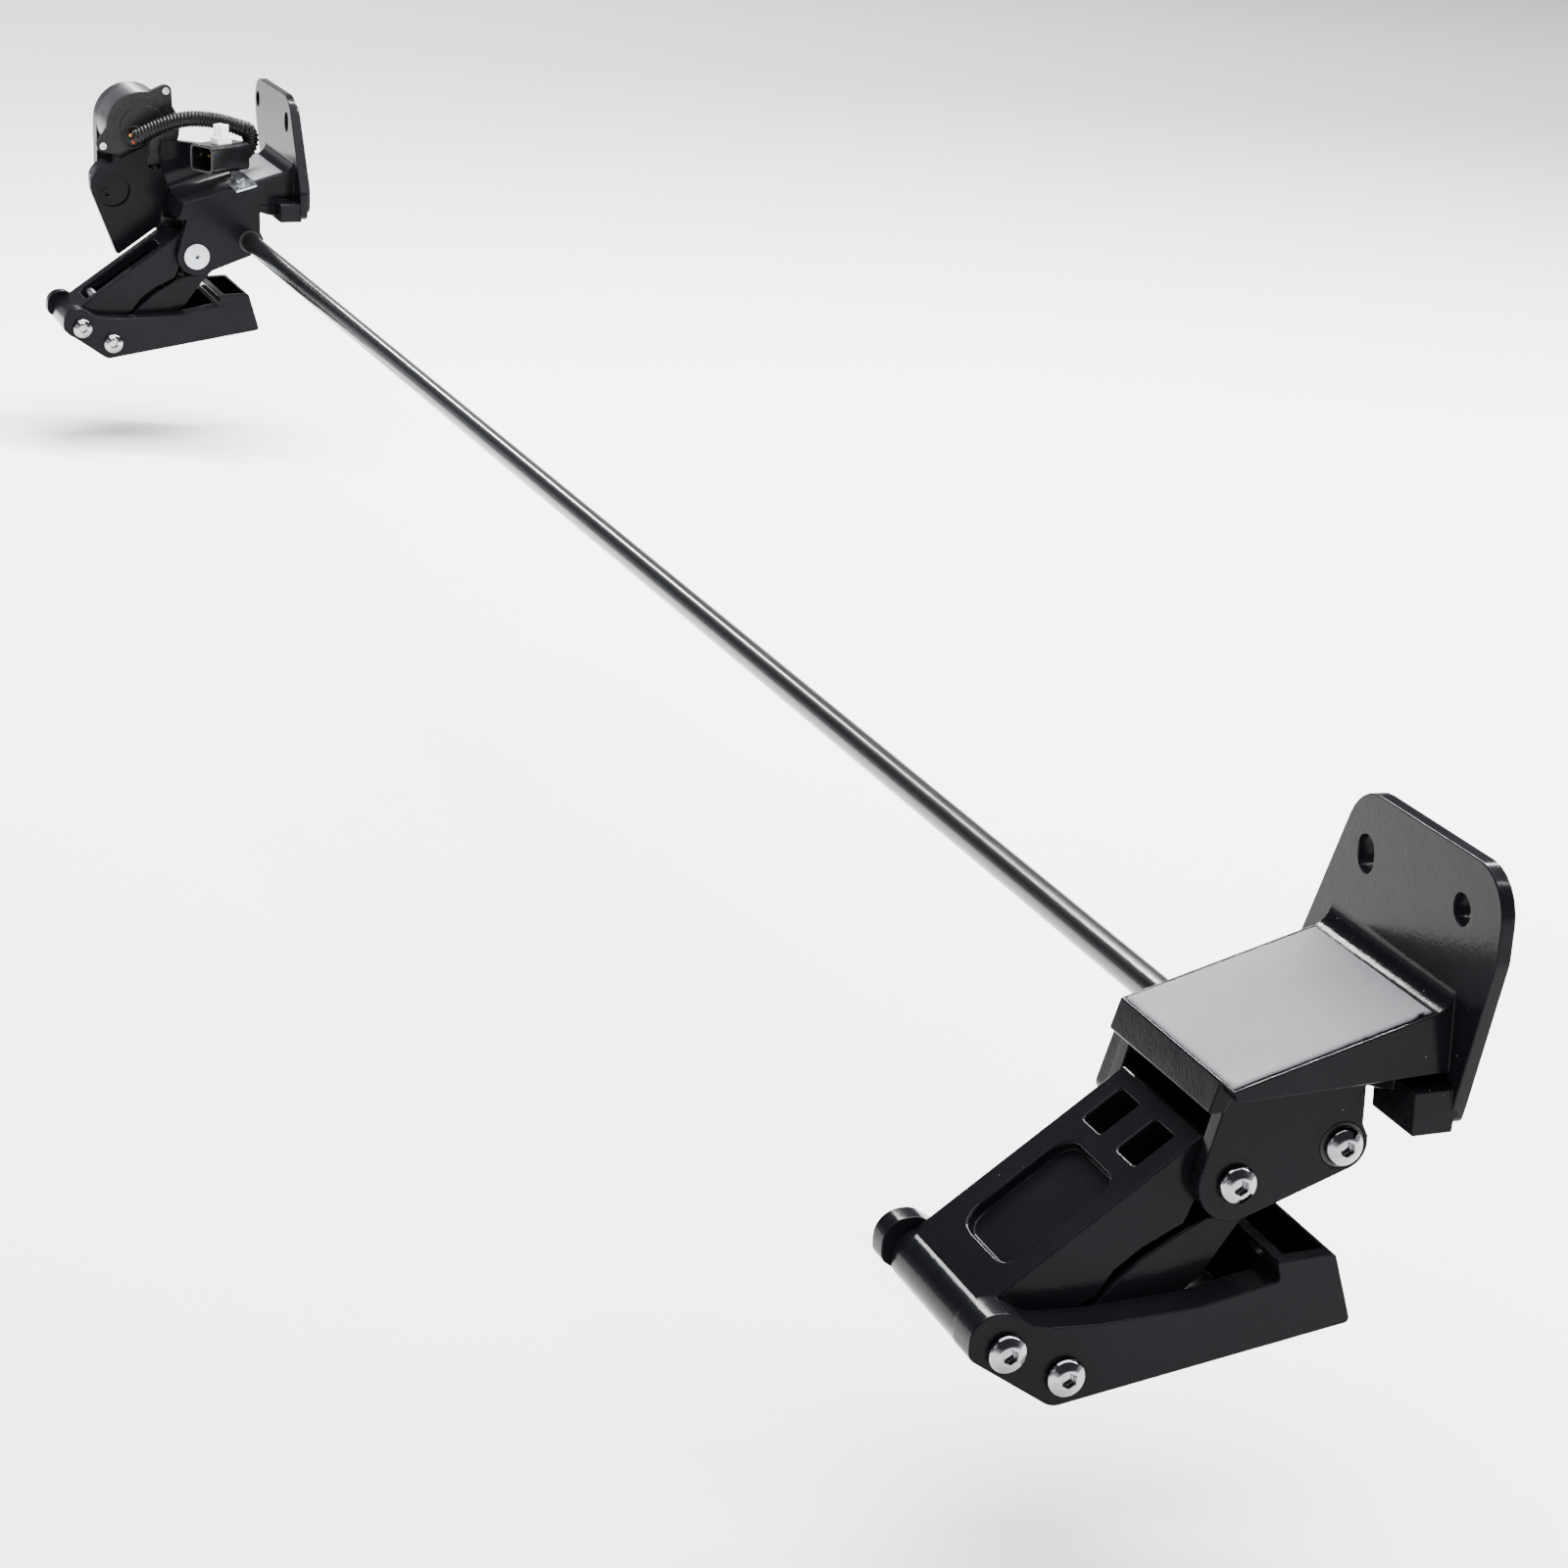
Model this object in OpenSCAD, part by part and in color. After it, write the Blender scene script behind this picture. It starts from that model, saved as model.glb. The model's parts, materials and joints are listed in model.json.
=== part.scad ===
// Powered running-board linkage: a follower hinge unit and a motor-driven hinge unit
// that carry one board between them and are kept in step by a long cross rod.
//
// Both units are built in unit coordinates: X runs outward from the cheek that faces the
// other unit, Y runs outboard towards the bolting flange, Z is up, and the line
// Y = Z = 0 is the axis of the cross rod.  Side outlines are [y, z] points.  The drive unit
// is the mirror image.  The part's origin is the drive flange's round hole, on the face
// that meets the vehicle.

/* [Set] */
// Gap between the facing cheeks of the two hinge units
unit_gap = 1629; // [1100:1:1800]
// Radius of the cross rod
rod_r = 6.5; // [6:0.1:7]

/* [Bracket] */
// Width over the two cheeks
cheek_span = 80; // [78:1:84]
// Thickness of one cheek
cheek_t = 7; // [6:0.5:7]
// Thickness of the upright flange
flange_t = 9; // [8:0.5:11]
// Radius of the flange's round bolt hole and half width of its slot
flange_hole_r = 5.5; // [5:0.1:6.5]
// Thickness of the foam pad
pad_t = 1.2; // [0.8:0.1:1.6]

/* [Step] */
// Thickness of the step bracket's side walls
step_wall = 14.6; // [13:0.1:15]
// Radius of the board's bolt holes
board_hole_r = 4.3; // [3.3:0.1:5]

/* [Fasteners] */
// Radius of the button heads
head_r = 7; // [6:0.25:7.5]
// Height of the button heads
head_h = 4.4; // [3:0.1:5]
// Radius of the step bracket's pivot pins
step_pin_r = 4; // [3.5:0.1:4.2]
// Radius of the bracket's pivot pins
arm_pin_r = 6; // [5:0.1:6.5]

/* [Motor] */
// Radius of the motor can
can_r = 26.5; // [24:0.5:26.5]
// Length of the motor can
can_l = 36; // [36:1:36]

/* [Hidden] */
$fn = 64;
eps = 0.05;

// Running clearance on a radius
run_gap = 0.05;
// Radius by which the open pivot at the step's tip is larger than its pin
tip_play = 2.5;

// Pivot points of the four-bar linkage, as [y, z]
rod_axis = [0, 0];
arm_axis = [-39.4, -9.6];
tip_axis = [-124.7, -57.4];
heel_axis = [-102.8, -69.2];

// Arms run between the cheeks with this gap to each
arm_gap = 0.5;
arm_x0 = cheek_t + arm_gap;
hub_x1 = cheek_span - cheek_t - arm_gap;
drive_arm_x1 = 59.5;
mid_x = cheek_span / 2;

// Step brackets: outer face, inner face, inner face and outer face of the two side walls
thin_wall = 9.5;
follower_walls = [cheek_t - thin_wall, cheek_t, cheek_span - cheek_t, cheek_span - cheek_t + step_wall];
drive_walls = [cheek_t - step_wall, cheek_t, drive_arm_x1 + arm_gap, drive_arm_x1 + arm_gap + thin_wall];

// Top plate: its upper face rises towards the flange
top_slope = 15.35;
top_z0 = 42.3;
top_front_y = -48.5;
overhang = 11;
flange_front_y = 32.4;
flange_back_y = flange_front_y + flange_t;
follower_hole_x = 90;
drive_hole_x = 116;
hole_z = 86;
slot_x = 22;
slot_z = 83;
slot_l = 14;
rim_t = 5.5;

// Outer arm's upper face, as a line z = arm_slope * y + arm_z0
arm_angle = 34.68;
arm_z0 = 40.3;

// Gear train: pitch radius is teeth * gear module / 2
sector_module = 1.6;
sector_teeth = 50;
pinion_teeth = 12;
case_module = 1.25;
wheel_teeth = 20;
idler_teeth = 24;
motor_teeth = 12;
sector_reach = sector_module * (sector_teeth + pinion_teeth) / 2;
pinion_angle = 135.8;
final_axis = arm_axis + sector_reach * [cos(pinion_angle), sin(pinion_angle)];
motor_angle = 78.4;
idler_axis = final_axis + case_module * (wheel_teeth + idler_teeth) / 2
    * [cos(motor_angle), sin(motor_angle)];
motor_axis = idler_axis + case_module * (idler_teeth + motor_teeth) / 2
    * [cos(motor_angle), sin(motor_angle)];
sector_x0 = 65.5;
sector_x1 = hub_x1;
sector_sweep = [58, 150];
sector_room = 43.4;
pinion_room = 12.6;

housing_x0 = 57;
housing_x1 = 87;
front_wall = 7;
case_x0 = 104;
case_x1 = 116;
case_wall = 2.5;
case_lobe_r = 16.6;
cover_t = 2.5;
gear_x0 = 107;
gear_x1 = 113.5;
final_shaft_r = 5;
idler_pin_r = 3;
rotor_shaft_r = 4;
cap_x0 = 62;
cap_x1 = 68;
lobe_reach = 32;
lobe_angles = [58, 202, 310];

// Connector: its mouth and the direction from its mouth to its back
mouth = [20, -31, 58];
connector_yaw = 28;
connector_size = [25, 35, 20];

// Conduit route from the motor cap to the back of the connector
conduit_r = 6.2;
conduit_route = [
    [61.9, -72.4, 68], [57, -72.4, 68], [52, -69.5, 69.8], [48.5, -62, 74.5], [45.5, -50, 80],
    [42.5, -36, 83.3], [40, -20, 82.8], [38.2, -8, 80.2], [37.4, 1.7, 77], [40.5, 7.6, 74.2],
    [41.8, 10.1, 67.5], [40.5, 7.6, 60.8], [37.4, 1.7, 58], [35, -2.7, 58]
];

casting = "#1d1e22";
steel = "#c9cbcf";

// ---- helpers ----

function unit(v) = v / norm(v);

// Arc that rounds corner q between its neighbours p and s
function corner(p, q, s, r, n = 6) =
    let (a = unit(p - q), b = unit(s - q), half = acos(a * b) / 2,
         c = q + unit(a + b) * r / sin(half), reach = r / tan(half),
         from = q + a * reach - c, to = q + b * reach - c,
         a0 = atan2(from[1], from[0]),
         turn = (atan2(to[1], to[0]) - a0 + 900) % 360 - 180)
    r == 0 ? [q] : [for (i = [0:n]) c + r * [cos(a0 + turn * i / n), sin(a0 + turn * i / n)]];

// Outline through [y, z, corner radius] points
function rounded(pts) =
    let (k = len(pts), xy = [for (p = pts) [p[0], p[1]]])
    [for (i = [0:k - 1]) each corner(xy[(i + k - 1) % k], xy[i], xy[(i + 1) % k], pts[i][2])];

// Closed tube along a smooth curve through route points
function curve_point(p, i, t) =
    let (n = len(p) - 1, a = p[max(i - 1, 0)], b = p[i], c = p[i + 1], d = p[min(i + 2, n)])
    0.5 * (2 * b + (c - a) * t + (2 * a - 5 * b + 4 * c - d) * t * t
        + (3 * b - a - 3 * c + d) * t * t * t);
function curve(p, steps) = concat(
    [for (i = [0:len(p) - 2]) for (k = [0:steps - 1]) curve_point(p, i, k / steps)],
    [p[len(p) - 1]]);

module tube(route, r, steps = 4, sides = 10) {
    c = curve(route, steps);
    n = len(c);
    along = [for (i = [0:n - 1]) unit(c[min(i + 1, n - 1)] - c[max(i - 1, 0)])];
    side = [for (t = along) unit(cross(t, [0.35, 0, 1]))];
    rings = [for (i = [0:n - 1]) for (k = [0:sides - 1])
        c[i] + r * (cos(360 * k / sides) * side[i] + sin(360 * k / sides) * cross(along[i], side[i]))];
    walls = [for (i = [0:n - 2]) for (k = [0:sides - 1])
        [i * sides + k, i * sides + (k + 1) % sides,
         (i + 1) * sides + (k + 1) % sides, (i + 1) * sides + k]];
    first = [for (k = [sides - 1:-1:0]) k];
    last = [for (k = [0:sides - 1]) (n - 1) * sides + k];
    polyhedron(points = rings, faces = concat([first], walls, [last]), convexity = 4);
}

// Extrude a [y, z] outline from x0 to x1
module slab(x0, x1) {
    translate([x0, 0, 0]) rotate([90, 0, 90]) linear_extrude(height = x1 - x0) children();
}

// Round bar along X at a [y, z] point
module bar(p, r, x0, x1) {
    translate([x0, p[0], p[1]]) rotate([0, 90, 0]) cylinder(r = r, h = x1 - x0);
}

// Outline of two circles and their outer tangents
function arc(p, r, from, to, n = 20) =
    [for (i = [0:n]) p + r * [cos(from + (to - from) * i / n), sin(from + (to - from) * i / n)]];
function belt(p, rp, q, rq) =
    let (a = atan2(q[1] - p[1], q[0] - p[0]), b = acos((rp - rq) / norm(q - p)))
    concat(arc(p, rp, a + b, a + 360 - b), arc(q, rq, a - b, a + b));

// Involute gear outline about the origin
function involute(base, r) = r <= base ? 0 : tan(acos(base / r)) * 180 / PI - acos(base / r);
function flank(m, teeth, r) =
    let (pitch = m * teeth / 2, base = pitch * cos(20), play = 0.16 * 180 / PI / pitch)
    90 / teeth - play + involute(base, pitch) - involute(base, r);
function gear_outline(m, teeth) =
    let (pitch = m * teeth / 2, root = pitch - 1.2 * m, tip = pitch + 0.85 * m,
         radii = [root, max(root, pitch * cos(20)), pitch, tip])
    [for (i = [0:teeth - 1]) each concat(
        [for (r = radii) r * [cos(i * 360 / teeth - flank(m, teeth, r)),
                              sin(i * 360 / teeth - flank(m, teeth, r))]],
        [for (k = [3:-1:0]) radii[k] * [cos(i * 360 / teeth + flank(m, teeth, radii[k])),
                                        sin(i * 360 / teeth + flank(m, teeth, radii[k]))]])];

// Spur gear about a [y, z] point, one tooth centred on the angle phase
module gear(p, m, teeth, phase, bore, x0, x1) {
    slab(x0, x1) difference() {
        translate(p) rotate(phase) polygon(gear_outline(m, teeth));
        translate(p) circle(r = bore);
    }
}

// Put a unit into the part's frame
module follower() {
    translate([drive_hole_x + unit_gap, -flange_back_y, -hole_z]) children();
}

module drive() {
    translate([drive_hole_x, -flange_back_y, -hole_z]) mirror([1, 0, 0]) children();
}

// ---- fasteners ----

// Button head screw whose head sits on the face at x and points along +X
module button_screw(p, x, shank_r, shank_l) {
    crown_r = head_r * 0.52;
    color(steel) translate([x, p[0], p[1]]) rotate([0, 90, 0]) difference() {
        union() {
            rotate_extrude() polygon(rounded([
                [0, 0, 0], [head_r, 0, 0], [head_r, head_h * 0.55, 1.8],
                [crown_r, head_h, 3], [0, head_h, 0]
            ]));
            translate([0, 0, -shank_l]) cylinder(r = shank_r, h = shank_l + eps);
        }
        translate([0, 0, head_h - 2.6]) cylinder(r = 2.9, h = 3, $fn = 6);
    }
}

module mirrored_screw(p, x, shank_r, shank_l) {
    translate([2 * x, 0, 0]) mirror([1, 0, 0]) button_screw(p, x, shank_r, shank_l);
}

screw_r = 2.5;
screw_l = 12;

// Pivot pin drilled at both ends for its screws
module pivot_pin(p, r, x0, x1) {
    color(steel) difference() {
        bar(p, r, x0, x1);
        bar(p, screw_r, x0 - eps, x0 + screw_l);
        bar(p, screw_r, x1 - screw_l, x1 + eps);
    }
}

module arm_pin() {
    flat_head_r = 9.2;
    flat_head_t = 1.2;
    centre_r = 1.8;
    color(steel) difference() {
        union() {
            bar(arm_axis, arm_pin_r, 0, cheek_span);
            bar(arm_axis, flat_head_r, -flat_head_t, 0);
        }
        bar(arm_axis, centre_r, -flat_head_t - eps, 3);
        bar(arm_axis, screw_r, cheek_span - screw_l, cheek_span + eps);
    }
}

module rod_bush(x0, x1) {
    bush_r = 8.3;
    color("#8d8f93") difference() {
        bar(rod_axis, bush_r, x0, x1);
        bar(rod_axis, rod_r + run_gap, x0 - eps, x1 + eps);
    }
}

// ---- bracket ----

function top_z(y) = top_z0 + y * tan(top_slope);

cheek_foot_r = 14;
cheek_heel_r = 9.8;

module cheek_outline() {
    polygon(belt(arm_axis, cheek_foot_r, rod_axis, cheek_heel_r));
    polygon([
        [-43.5, 27], [-52.7, -5.1], arm_axis, rod_axis, [9.6, 2], [7.6, 7], [7.6, 27]
    ]);
}

// Sloping plate with the blend into the flange
module top_outline() {
    blend_r = 9;
    blend_y = flange_front_y - blend_r;
    blend_z = top_z(blend_y) + blend_r / cos(top_slope);
    polygon(concat(
        [[top_front_y, top_z(top_front_y)]],
        [for (a = [-90 + top_slope:15:0]) [blend_y, blend_z] + blend_r * [cos(a), sin(a)]],
        [[flange_front_y, blend_z], [flange_front_y + 2, blend_z],
         [flange_front_y + 2, 27.5], [-46.5, 24.8]]
    ));
}

module lip_outline() {
    polygon(rounded([
        [-52.4, 17.3, 1], [top_front_y, top_z(top_front_y), 0],
        [top_front_y + 9, top_z(top_front_y + 9), 0], [-46, 17.3, 2]
    ]));
}

// Flange outline as [x, z]: it leans outward and is grown by wide at its outer edge
function flange_points(bottom, top, wide) = [
    [-22, bottom, 7], [93, bottom, 4], [96 + wide / 2, bottom + 8, 8], [115 + wide, 75, 12],
    [117 + wide, top, 17], [15, top, 24], [-22, 38, 8]
];

module flange_holes(hole_x) {
    translate([hole_x, hole_z]) circle(r = flange_hole_r);
    for (end = [-1, 1])
        translate([slot_x, slot_z + end * (slot_l / 2 - flange_hole_r)]) circle(r = flange_hole_r);
    translate([slot_x - flange_hole_r, slot_z - slot_l / 2 + flange_hole_r])
        square([2 * flange_hole_r, slot_l - 2 * flange_hole_r]);
}

// Extrude an [x, z] outline from y0 to y1
module upright(y0, y1) {
    translate([0, y1, 0]) rotate([90, 0, 0]) linear_extrude(height = y1 - y0) children();
}

// Thin rim with a thicker bearing pad behind it
module flange(hole_x, bottom, top, wide) {
    inset = 7;
    upright(flange_front_y, flange_front_y + rim_t) difference() {
        polygon(rounded(flange_points(bottom, top, wide)));
        flange_holes(hole_x);
    }
    upright(flange_front_y + rim_t, flange_back_y) difference() {
        polygon(rounded([
            [-14, bottom + 4, 5], [88, bottom + 4, 4], [108 + wide, 75, 8],
            [109 + wide, top - inset, 12], [20, top - inset, 18], [-14, 40, 6]
        ]));
        flange_holes(hole_x);
    }
}

module foot(x, z, w, h) {
    foot_y = 18;
    difference() {
        translate([x, foot_y, z]) cube([w, flange_front_y + 1 - foot_y, h]);
        translate([x + w / 2, foot_y + 8, z + 3]) cylinder(r = 2.5, h = h);
    }
}

module bracket_body(hole_x, bottom, top, wide) {
    rib_t = 8;
    for (x = [0, cheek_span - cheek_t]) slab(x, x + cheek_t) cheek_outline();
    slab(0, cheek_span + overhang) top_outline();
    slab(0, cheek_span + 1) lip_outline();
    flange(hole_x, bottom, top, wide);
    for (x = [0, cheek_span - rib_t]) slab(x, x + rib_t)
        polygon([[0, 26], [flange_front_y + 1, 27], [flange_front_y + 1, 19], [14, 19], [5, 22]]);
}

module bracket_bores() {
    bar(arm_axis, arm_pin_r, -1, cheek_span + 1);
    bar(rod_axis, 8.3, -1, cheek_span + 1);
}

// Front wing that widens the follower's inner cheek
module wing_outline() {
    polygon(rounded([[-42.5, 24, 3], [-52.3, -6, 4], [-47, -20, 4], [-36, -22, 2], [-32, 24, 2]]));
}

module follower_bracket() {
    wing = 9;
    color(casting) difference() {
        union() {
            bracket_body(follower_hole_x, 9, 106.5, 0);
            foot(-8, 7, 22, 13);
            foot(66, 7, 29, 16);
            difference() {
                slab(-wing, eps) wing_outline();
                bar(arm_axis, 10.5, -wing - 1, 0);
            }
        }
        bracket_bores();
    }
}

module pad(y0, y1) {
    pad_x0 = 3.3;
    pad_x1 = cheek_span + overhang - 1.7;
    color("#b4b5b9") slab(pad_x0, pad_x1) polygon([
        [y0, top_z(y0)], [y1, top_z(y1)], [y1, top_z(y1) + pad_t], [y0, top_z(y0) + pad_t]
    ]);
}

// ---- arms ----

function arm_z(y) = arm_z0 + y * tan(arm_angle);

barrel_r = 10.4;

hub_r = 13.2;

module outer_arm_outline() {
    polygon(concat(
        arc(tip_axis, barrel_r, -40, -260, 36),
        [[-49, arm_z(-49)]],
        arc(arm_axis, hub_r, 100, -145, 36),
        [[-54, -26], [-69.3, -33.4], [-79, -40.4], [-85.5, -49.5]]
    ));
}

// Underside hollow of the outer arm
module arm_hollow_outline() {
    polygon(rounded([
        [-106, arm_z(-106) - 8, 3], [-64, arm_z(-64) - 8, 3], [-61, -22, 3],
        [-64, -45, 0], [-104, -70, 0]
    ]));
}

// Place a cutter on the arm's upper face: Y along the slope from y0, Z up from the face
module on_arm(y0) {
    translate([0, y0, arm_z(y0)]) rotate([arm_angle, 0, 0]) children();
}

// Upright block with round vertical corners
module round_block(size, r, h) {
    translate([size[0] / 2, size[1] / 2, 0]) linear_extrude(height = h) polygon(rounded([
        for (c = [[-1, -1], [1, -1], [1, 1], [-1, 1]]) [c[0] * size[0] / 2, c[1] * size[1] / 2, r]
    ]));
}

module outer_arm_body(x1) {
    difference() {
        slab(arm_x0, x1) outer_arm_outline();
        slab(arm_x0 + 7, x1 - 7) arm_hollow_outline();
        bar(arm_axis, arm_pin_r + run_gap, 0, cheek_span);
        bar(tip_axis, step_pin_r + tip_play, 0, cheek_span);
    }
}

module follower_outer_arm() {
    window = [15, 17];
    window_gap = 13.5;
    pocket = [42, 48];
    color(casting) difference() {
        outer_arm_body(hub_x1);
        for (x = [mid_x - window_gap / 2 - window[0], mid_x + window_gap / 2])
            translate([x, 0, 0]) on_arm(-68.8) translate([0, 0, -14]) round_block(window, 1.5, 15);
        translate([mid_x - pocket[0] / 2 + 2, 0, 0]) on_arm(-115)
            translate([0, 0, -4]) round_block(pocket, 9, 5);
    }
}

roller_at = [-109.3, -41.6];

module drive_outer_arm() {
    slot = [29, 66];
    slot_x0 = 17;
    color(casting) difference() {
        union() {
            outer_arm_body(drive_arm_x1);
            bar(arm_axis, hub_r - 1.5, drive_arm_x1 - 1, sector_x0);
        }
        bar(arm_axis, arm_pin_r + run_gap, 0, cheek_span);
        translate([slot_x0, 0, 0]) on_arm(-117.3)
            translate([0, 0, -9]) round_block(slot, 4, 10);
        bar(roller_at, 1.5, slot_x0 - 5, slot_x0 + slot[0] + 5);
    }
}

module arm_roller_pin() {
    color(steel) bar(roller_at, 1.5, 12, 51);
}

module arm_roller() {
    color("#808388") difference() {
        bar(roller_at, 3.4, 19, 44);
        bar(roller_at, 1.5, 18, 45);
    }
}

rod_hub_r = 10.5;
heel_hub_r = 7.5;

module inner_arm_outline() {
    inside = 0.97;
    translate(rod_axis) circle(r = rod_hub_r);
    translate(heel_axis) circle(r = heel_hub_r);
    polygon([
        rod_axis + inside * rod_hub_r * [cos(150), sin(150)], [-20, -6], [-25.2, -15.6],
        [-31.5, -22], [-39, -24.4], [-46, -24.6], [-55, -29], [-70, -37.5], [-79.5, -45],
        [-90, -57], [-97, -62], heel_axis + inside * heel_hub_r * [cos(90), sin(90)], heel_axis,
        heel_axis + inside * heel_hub_r * [cos(270), sin(270)], [-95, -75], [-64, -60],
        [-46, -46], [-34, -29.5], [-25, -20.5], [-12, -14.8],
        rod_axis + inside * rod_hub_r * [cos(300), sin(300)], rod_axis
    ]);
}

module inner_arm(x1) {
    web = 15;
    color(casting) difference() {
        union() {
            slab(arm_x0, x1) inner_arm_outline();
            bar(rod_axis, rod_hub_r, x1 - 1, hub_x1);
        }
        translate([arm_x0 + web, -86, -90]) cube([x1 - arm_x0 - 2 * web, 62, 90]);
        bar(rod_axis, rod_r, 0, cheek_span);
        bar(heel_axis, step_pin_r + run_gap, 0, cheek_span);
    }
}

// ---- step bracket ----

module step_outline() {
    polygon(rounded([
        [-138.2, -43.2, 10], [-138.2, -58.6, 5], [-107, -80.6, 8], [4.6, -63.6, 2],
        [-3.1, -36.8, 2], [-25.3, -37.4, 1], [-23.6, -44.6, 1.5], [-54.2, -50.4, 12],
        [-92, -51.8, 60], [-113, -50.4, 14], [-124, -43.2, 8]
    ]));
}

// Height of the board face at y
function board_z(y) = -80.6 + (y + 107) * 17 / 111.6;
board_tilt = atan(17 / 111.6);

module step_bracket(walls) {
    floor_t = 5;
    pocket_z = -53;
    color(casting) difference() {
        union() {
            for (x = [0, 2]) slab(walls[x], walls[x + 1]) step_outline();
            slab(walls[1], walls[2]) intersection() {
                step_outline();
                polygon([
                    [-26, -30], [10, -30], [10, board_z(10) - 5], [-88, board_z(-88) - 5],
                    [-88, board_z(-88) + floor_t], [-26, board_z(-26) + floor_t]
                ]);
            }
        }
        translate([walls[0] + 6, -20, pocket_z]) cube([walls[3] - walls[0] - 12, 14.5, 30]);
        bar(tip_axis, step_pin_r, walls[0] - 1, walls[3] + 1);
        bar(heel_axis, step_pin_r, walls[0] - 1, walls[3] + 1);
        for (y = board_hole_y) translate([board_hole_x, y, board_z(y)]) rotate([board_tilt, 0, 0])
            translate([0, 0, -3]) cylinder(r = board_hole_r, h = 12);
    }
}

board_hole_x = 34;
board_hole_y = [-76, -36];

// ---- drive: gears ----

module sector_gear() {
    hub_r = 17;
    color("#9a9ca0") difference() {
        slab(sector_x0, sector_x1) difference() {
            intersection() {
                translate(arm_axis) rotate(pinion_angle) polygon(gear_outline(sector_module, sector_teeth));
                translate(arm_axis) union() {
                    circle(r = hub_r);
                    polygon([[0, 0], for (a = [sector_sweep[0]:10.2222:sector_sweep[1] + 1])
                        60 * [cos(a), sin(a)]]);
                }
            }
        }
        bar(arm_axis, arm_pin_r + run_gap, 0, cheek_span);
    }
}

// A gap of the pinion faces the sector's tooth at pinion_angle
module final_pinion() {
    phase = pinion_angle + 180 + 180 / pinion_teeth;
    color("#9a9ca0") gear(final_axis, sector_module, pinion_teeth, phase, final_shaft_r,
        sector_x0, sector_x1);
}

module final_shaft() {
    color(steel) bar(final_axis, final_shaft_r, housing_x0 + 5, case_x1 - 0.5);
}

module final_wheel() {
    color("#9a9ca0") gear(final_axis, case_module, wheel_teeth, motor_angle, final_shaft_r,
        gear_x0, gear_x1);
}

module idler_gear() {
    phase = motor_angle + 180 + 180 / idler_teeth;
    color("#d9d6c8") gear(idler_axis, case_module, idler_teeth, phase, idler_pin_r + run_gap,
        gear_x0, gear_x1);
}

module idler_pin() {
    color(steel) bar(idler_axis, idler_pin_r, case_x0 + 1, case_x1);
}

// The idler has a gap where the line of centres leaves it, so the pinion has a tooth there
module motor_pinion() {
    color("#9a9ca0") gear(motor_axis, case_module, motor_teeth, motor_angle + 180,
        rotor_shaft_r, gear_x0, gear_x1);
}

module motor_rotor() {
    armature_r = 19;
    color("#8a6a4a") {
        bar(motor_axis, rotor_shaft_r, cap_x0 + 2, case_x1 - 0.5);
        bar(motor_axis, armature_r, cap_x1 + 5, case_x0 - 6);
    }
}

// ---- drive: housing and motor ----

recess_at = [-88.5, 30.4];

module housing_outline() {
    difference() {
        polygon(rounded([
            [-86.6, -17.5, 2], [-109.2, 41.3, 14], [-63.9, 62.1, 1.5], [-60, 66, 1.5],
            [-40, 65, 6], [-9, 60, 9], [-4, top_z(-4), 0], [top_front_y, top_z(top_front_y), 0],
            [-53.2, 17.3, 0], [-54.2, arm_z(-54.2) + 2, 2]
        ]));
        translate([-57.6, 50.5]) circle(r = 5.8);
        polygon([[-61.5, 50], [-61, 70], [-52.5, 70], [-54, 50]]);
    }
}

// The part of the housing behind its front plate leaves the lower front edge free
module housing_back_outline() {
    difference() {
        polygon(rounded([
            [-74, -8, 3], [-90, 14, 3], [-108.5, 40.8, 14], [-63.9, 62.1, 1.5],
            [-40, 62, 6], [-10, 58, 9], [-5, top_z(-5), 0], [top_front_y, top_z(top_front_y), 0],
            [-53.2, 17.3, 0], [-54.2, arm_z(-54.2) + 2, 2]
        ]));
        translate([-57.6, 50.5]) circle(r = 5.8);
    }
}

module gear_housing() {
    saddle_r = can_r + 0.6;
    recess_r = 12.4;
    boss_at = recess_at + [-4.5, -3];
    lobe_3 = lobe_reach * [cos(lobe_angles[2]), sin(lobe_angles[2])];
    color(casting) difference() {
        union() {
            slab(housing_x0, housing_x0 + front_wall) housing_outline();
            slab(housing_x0 + front_wall - eps, housing_x1) housing_back_outline();
        }
        bar(motor_axis, saddle_r, cap_x0 - 1, case_x0);
        difference() {
            bar(recess_at, recess_r, housing_x0 - eps, housing_x0 + 3.5);
            bar(boss_at, 4.2, housing_x0 + 2, housing_x0 + front_wall);
        }
        bar(boss_at, 1.8, housing_x0 + 1, housing_x0 + front_wall - 2);
        slab(sector_x0 - 1, sector_x1 + 1) translate(arm_axis) circle(r = sector_room);
        bar(arm_axis, hub_r + 0.6, housing_x0 - 1, housing_x1 + 1);
        bar(final_axis, pinion_room, sector_x0 - 1, sector_x1 + 1);
        bar(final_axis, final_shaft_r + run_gap, housing_x0 + 4.7, housing_x1 + eps);
        slab(cap_x0 - 1.8, cap_x1 + 1) translate(motor_axis)
            polygon(belt([0, 0], can_r - 3, lobe_3, 5.4));
        bar(motor_axis + lobe_3, 1.9, cap_x1, cap_x1 + 3);
    }
}

// Fillet that carries the top plate up to the housing's front wall
module housing_blend() {
    r = 22;
    n = 8;
    translate([0, top_front_y, top_z(top_front_y)]) rotate([top_slope, 0, 0])
        translate([0, 46, 0]) rotate([90, 0, 0]) linear_extrude(height = 46) polygon(concat(
            [[housing_x0 - r, -3]],
            [for (i = [0:n]) [housing_x0 - r + r * sin(90 * i / n), r - r * cos(90 * i / n)]],
            [[housing_x0, -3]]
        ));
}

// Wall above the outer arm's hub, in line with the housing's front wall
module window_wall_outline() {
    polygon([[-49, 26], [-52.4, 17], [-52.4, 9], [-30, 9], [-24, 30]]);
}

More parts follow.
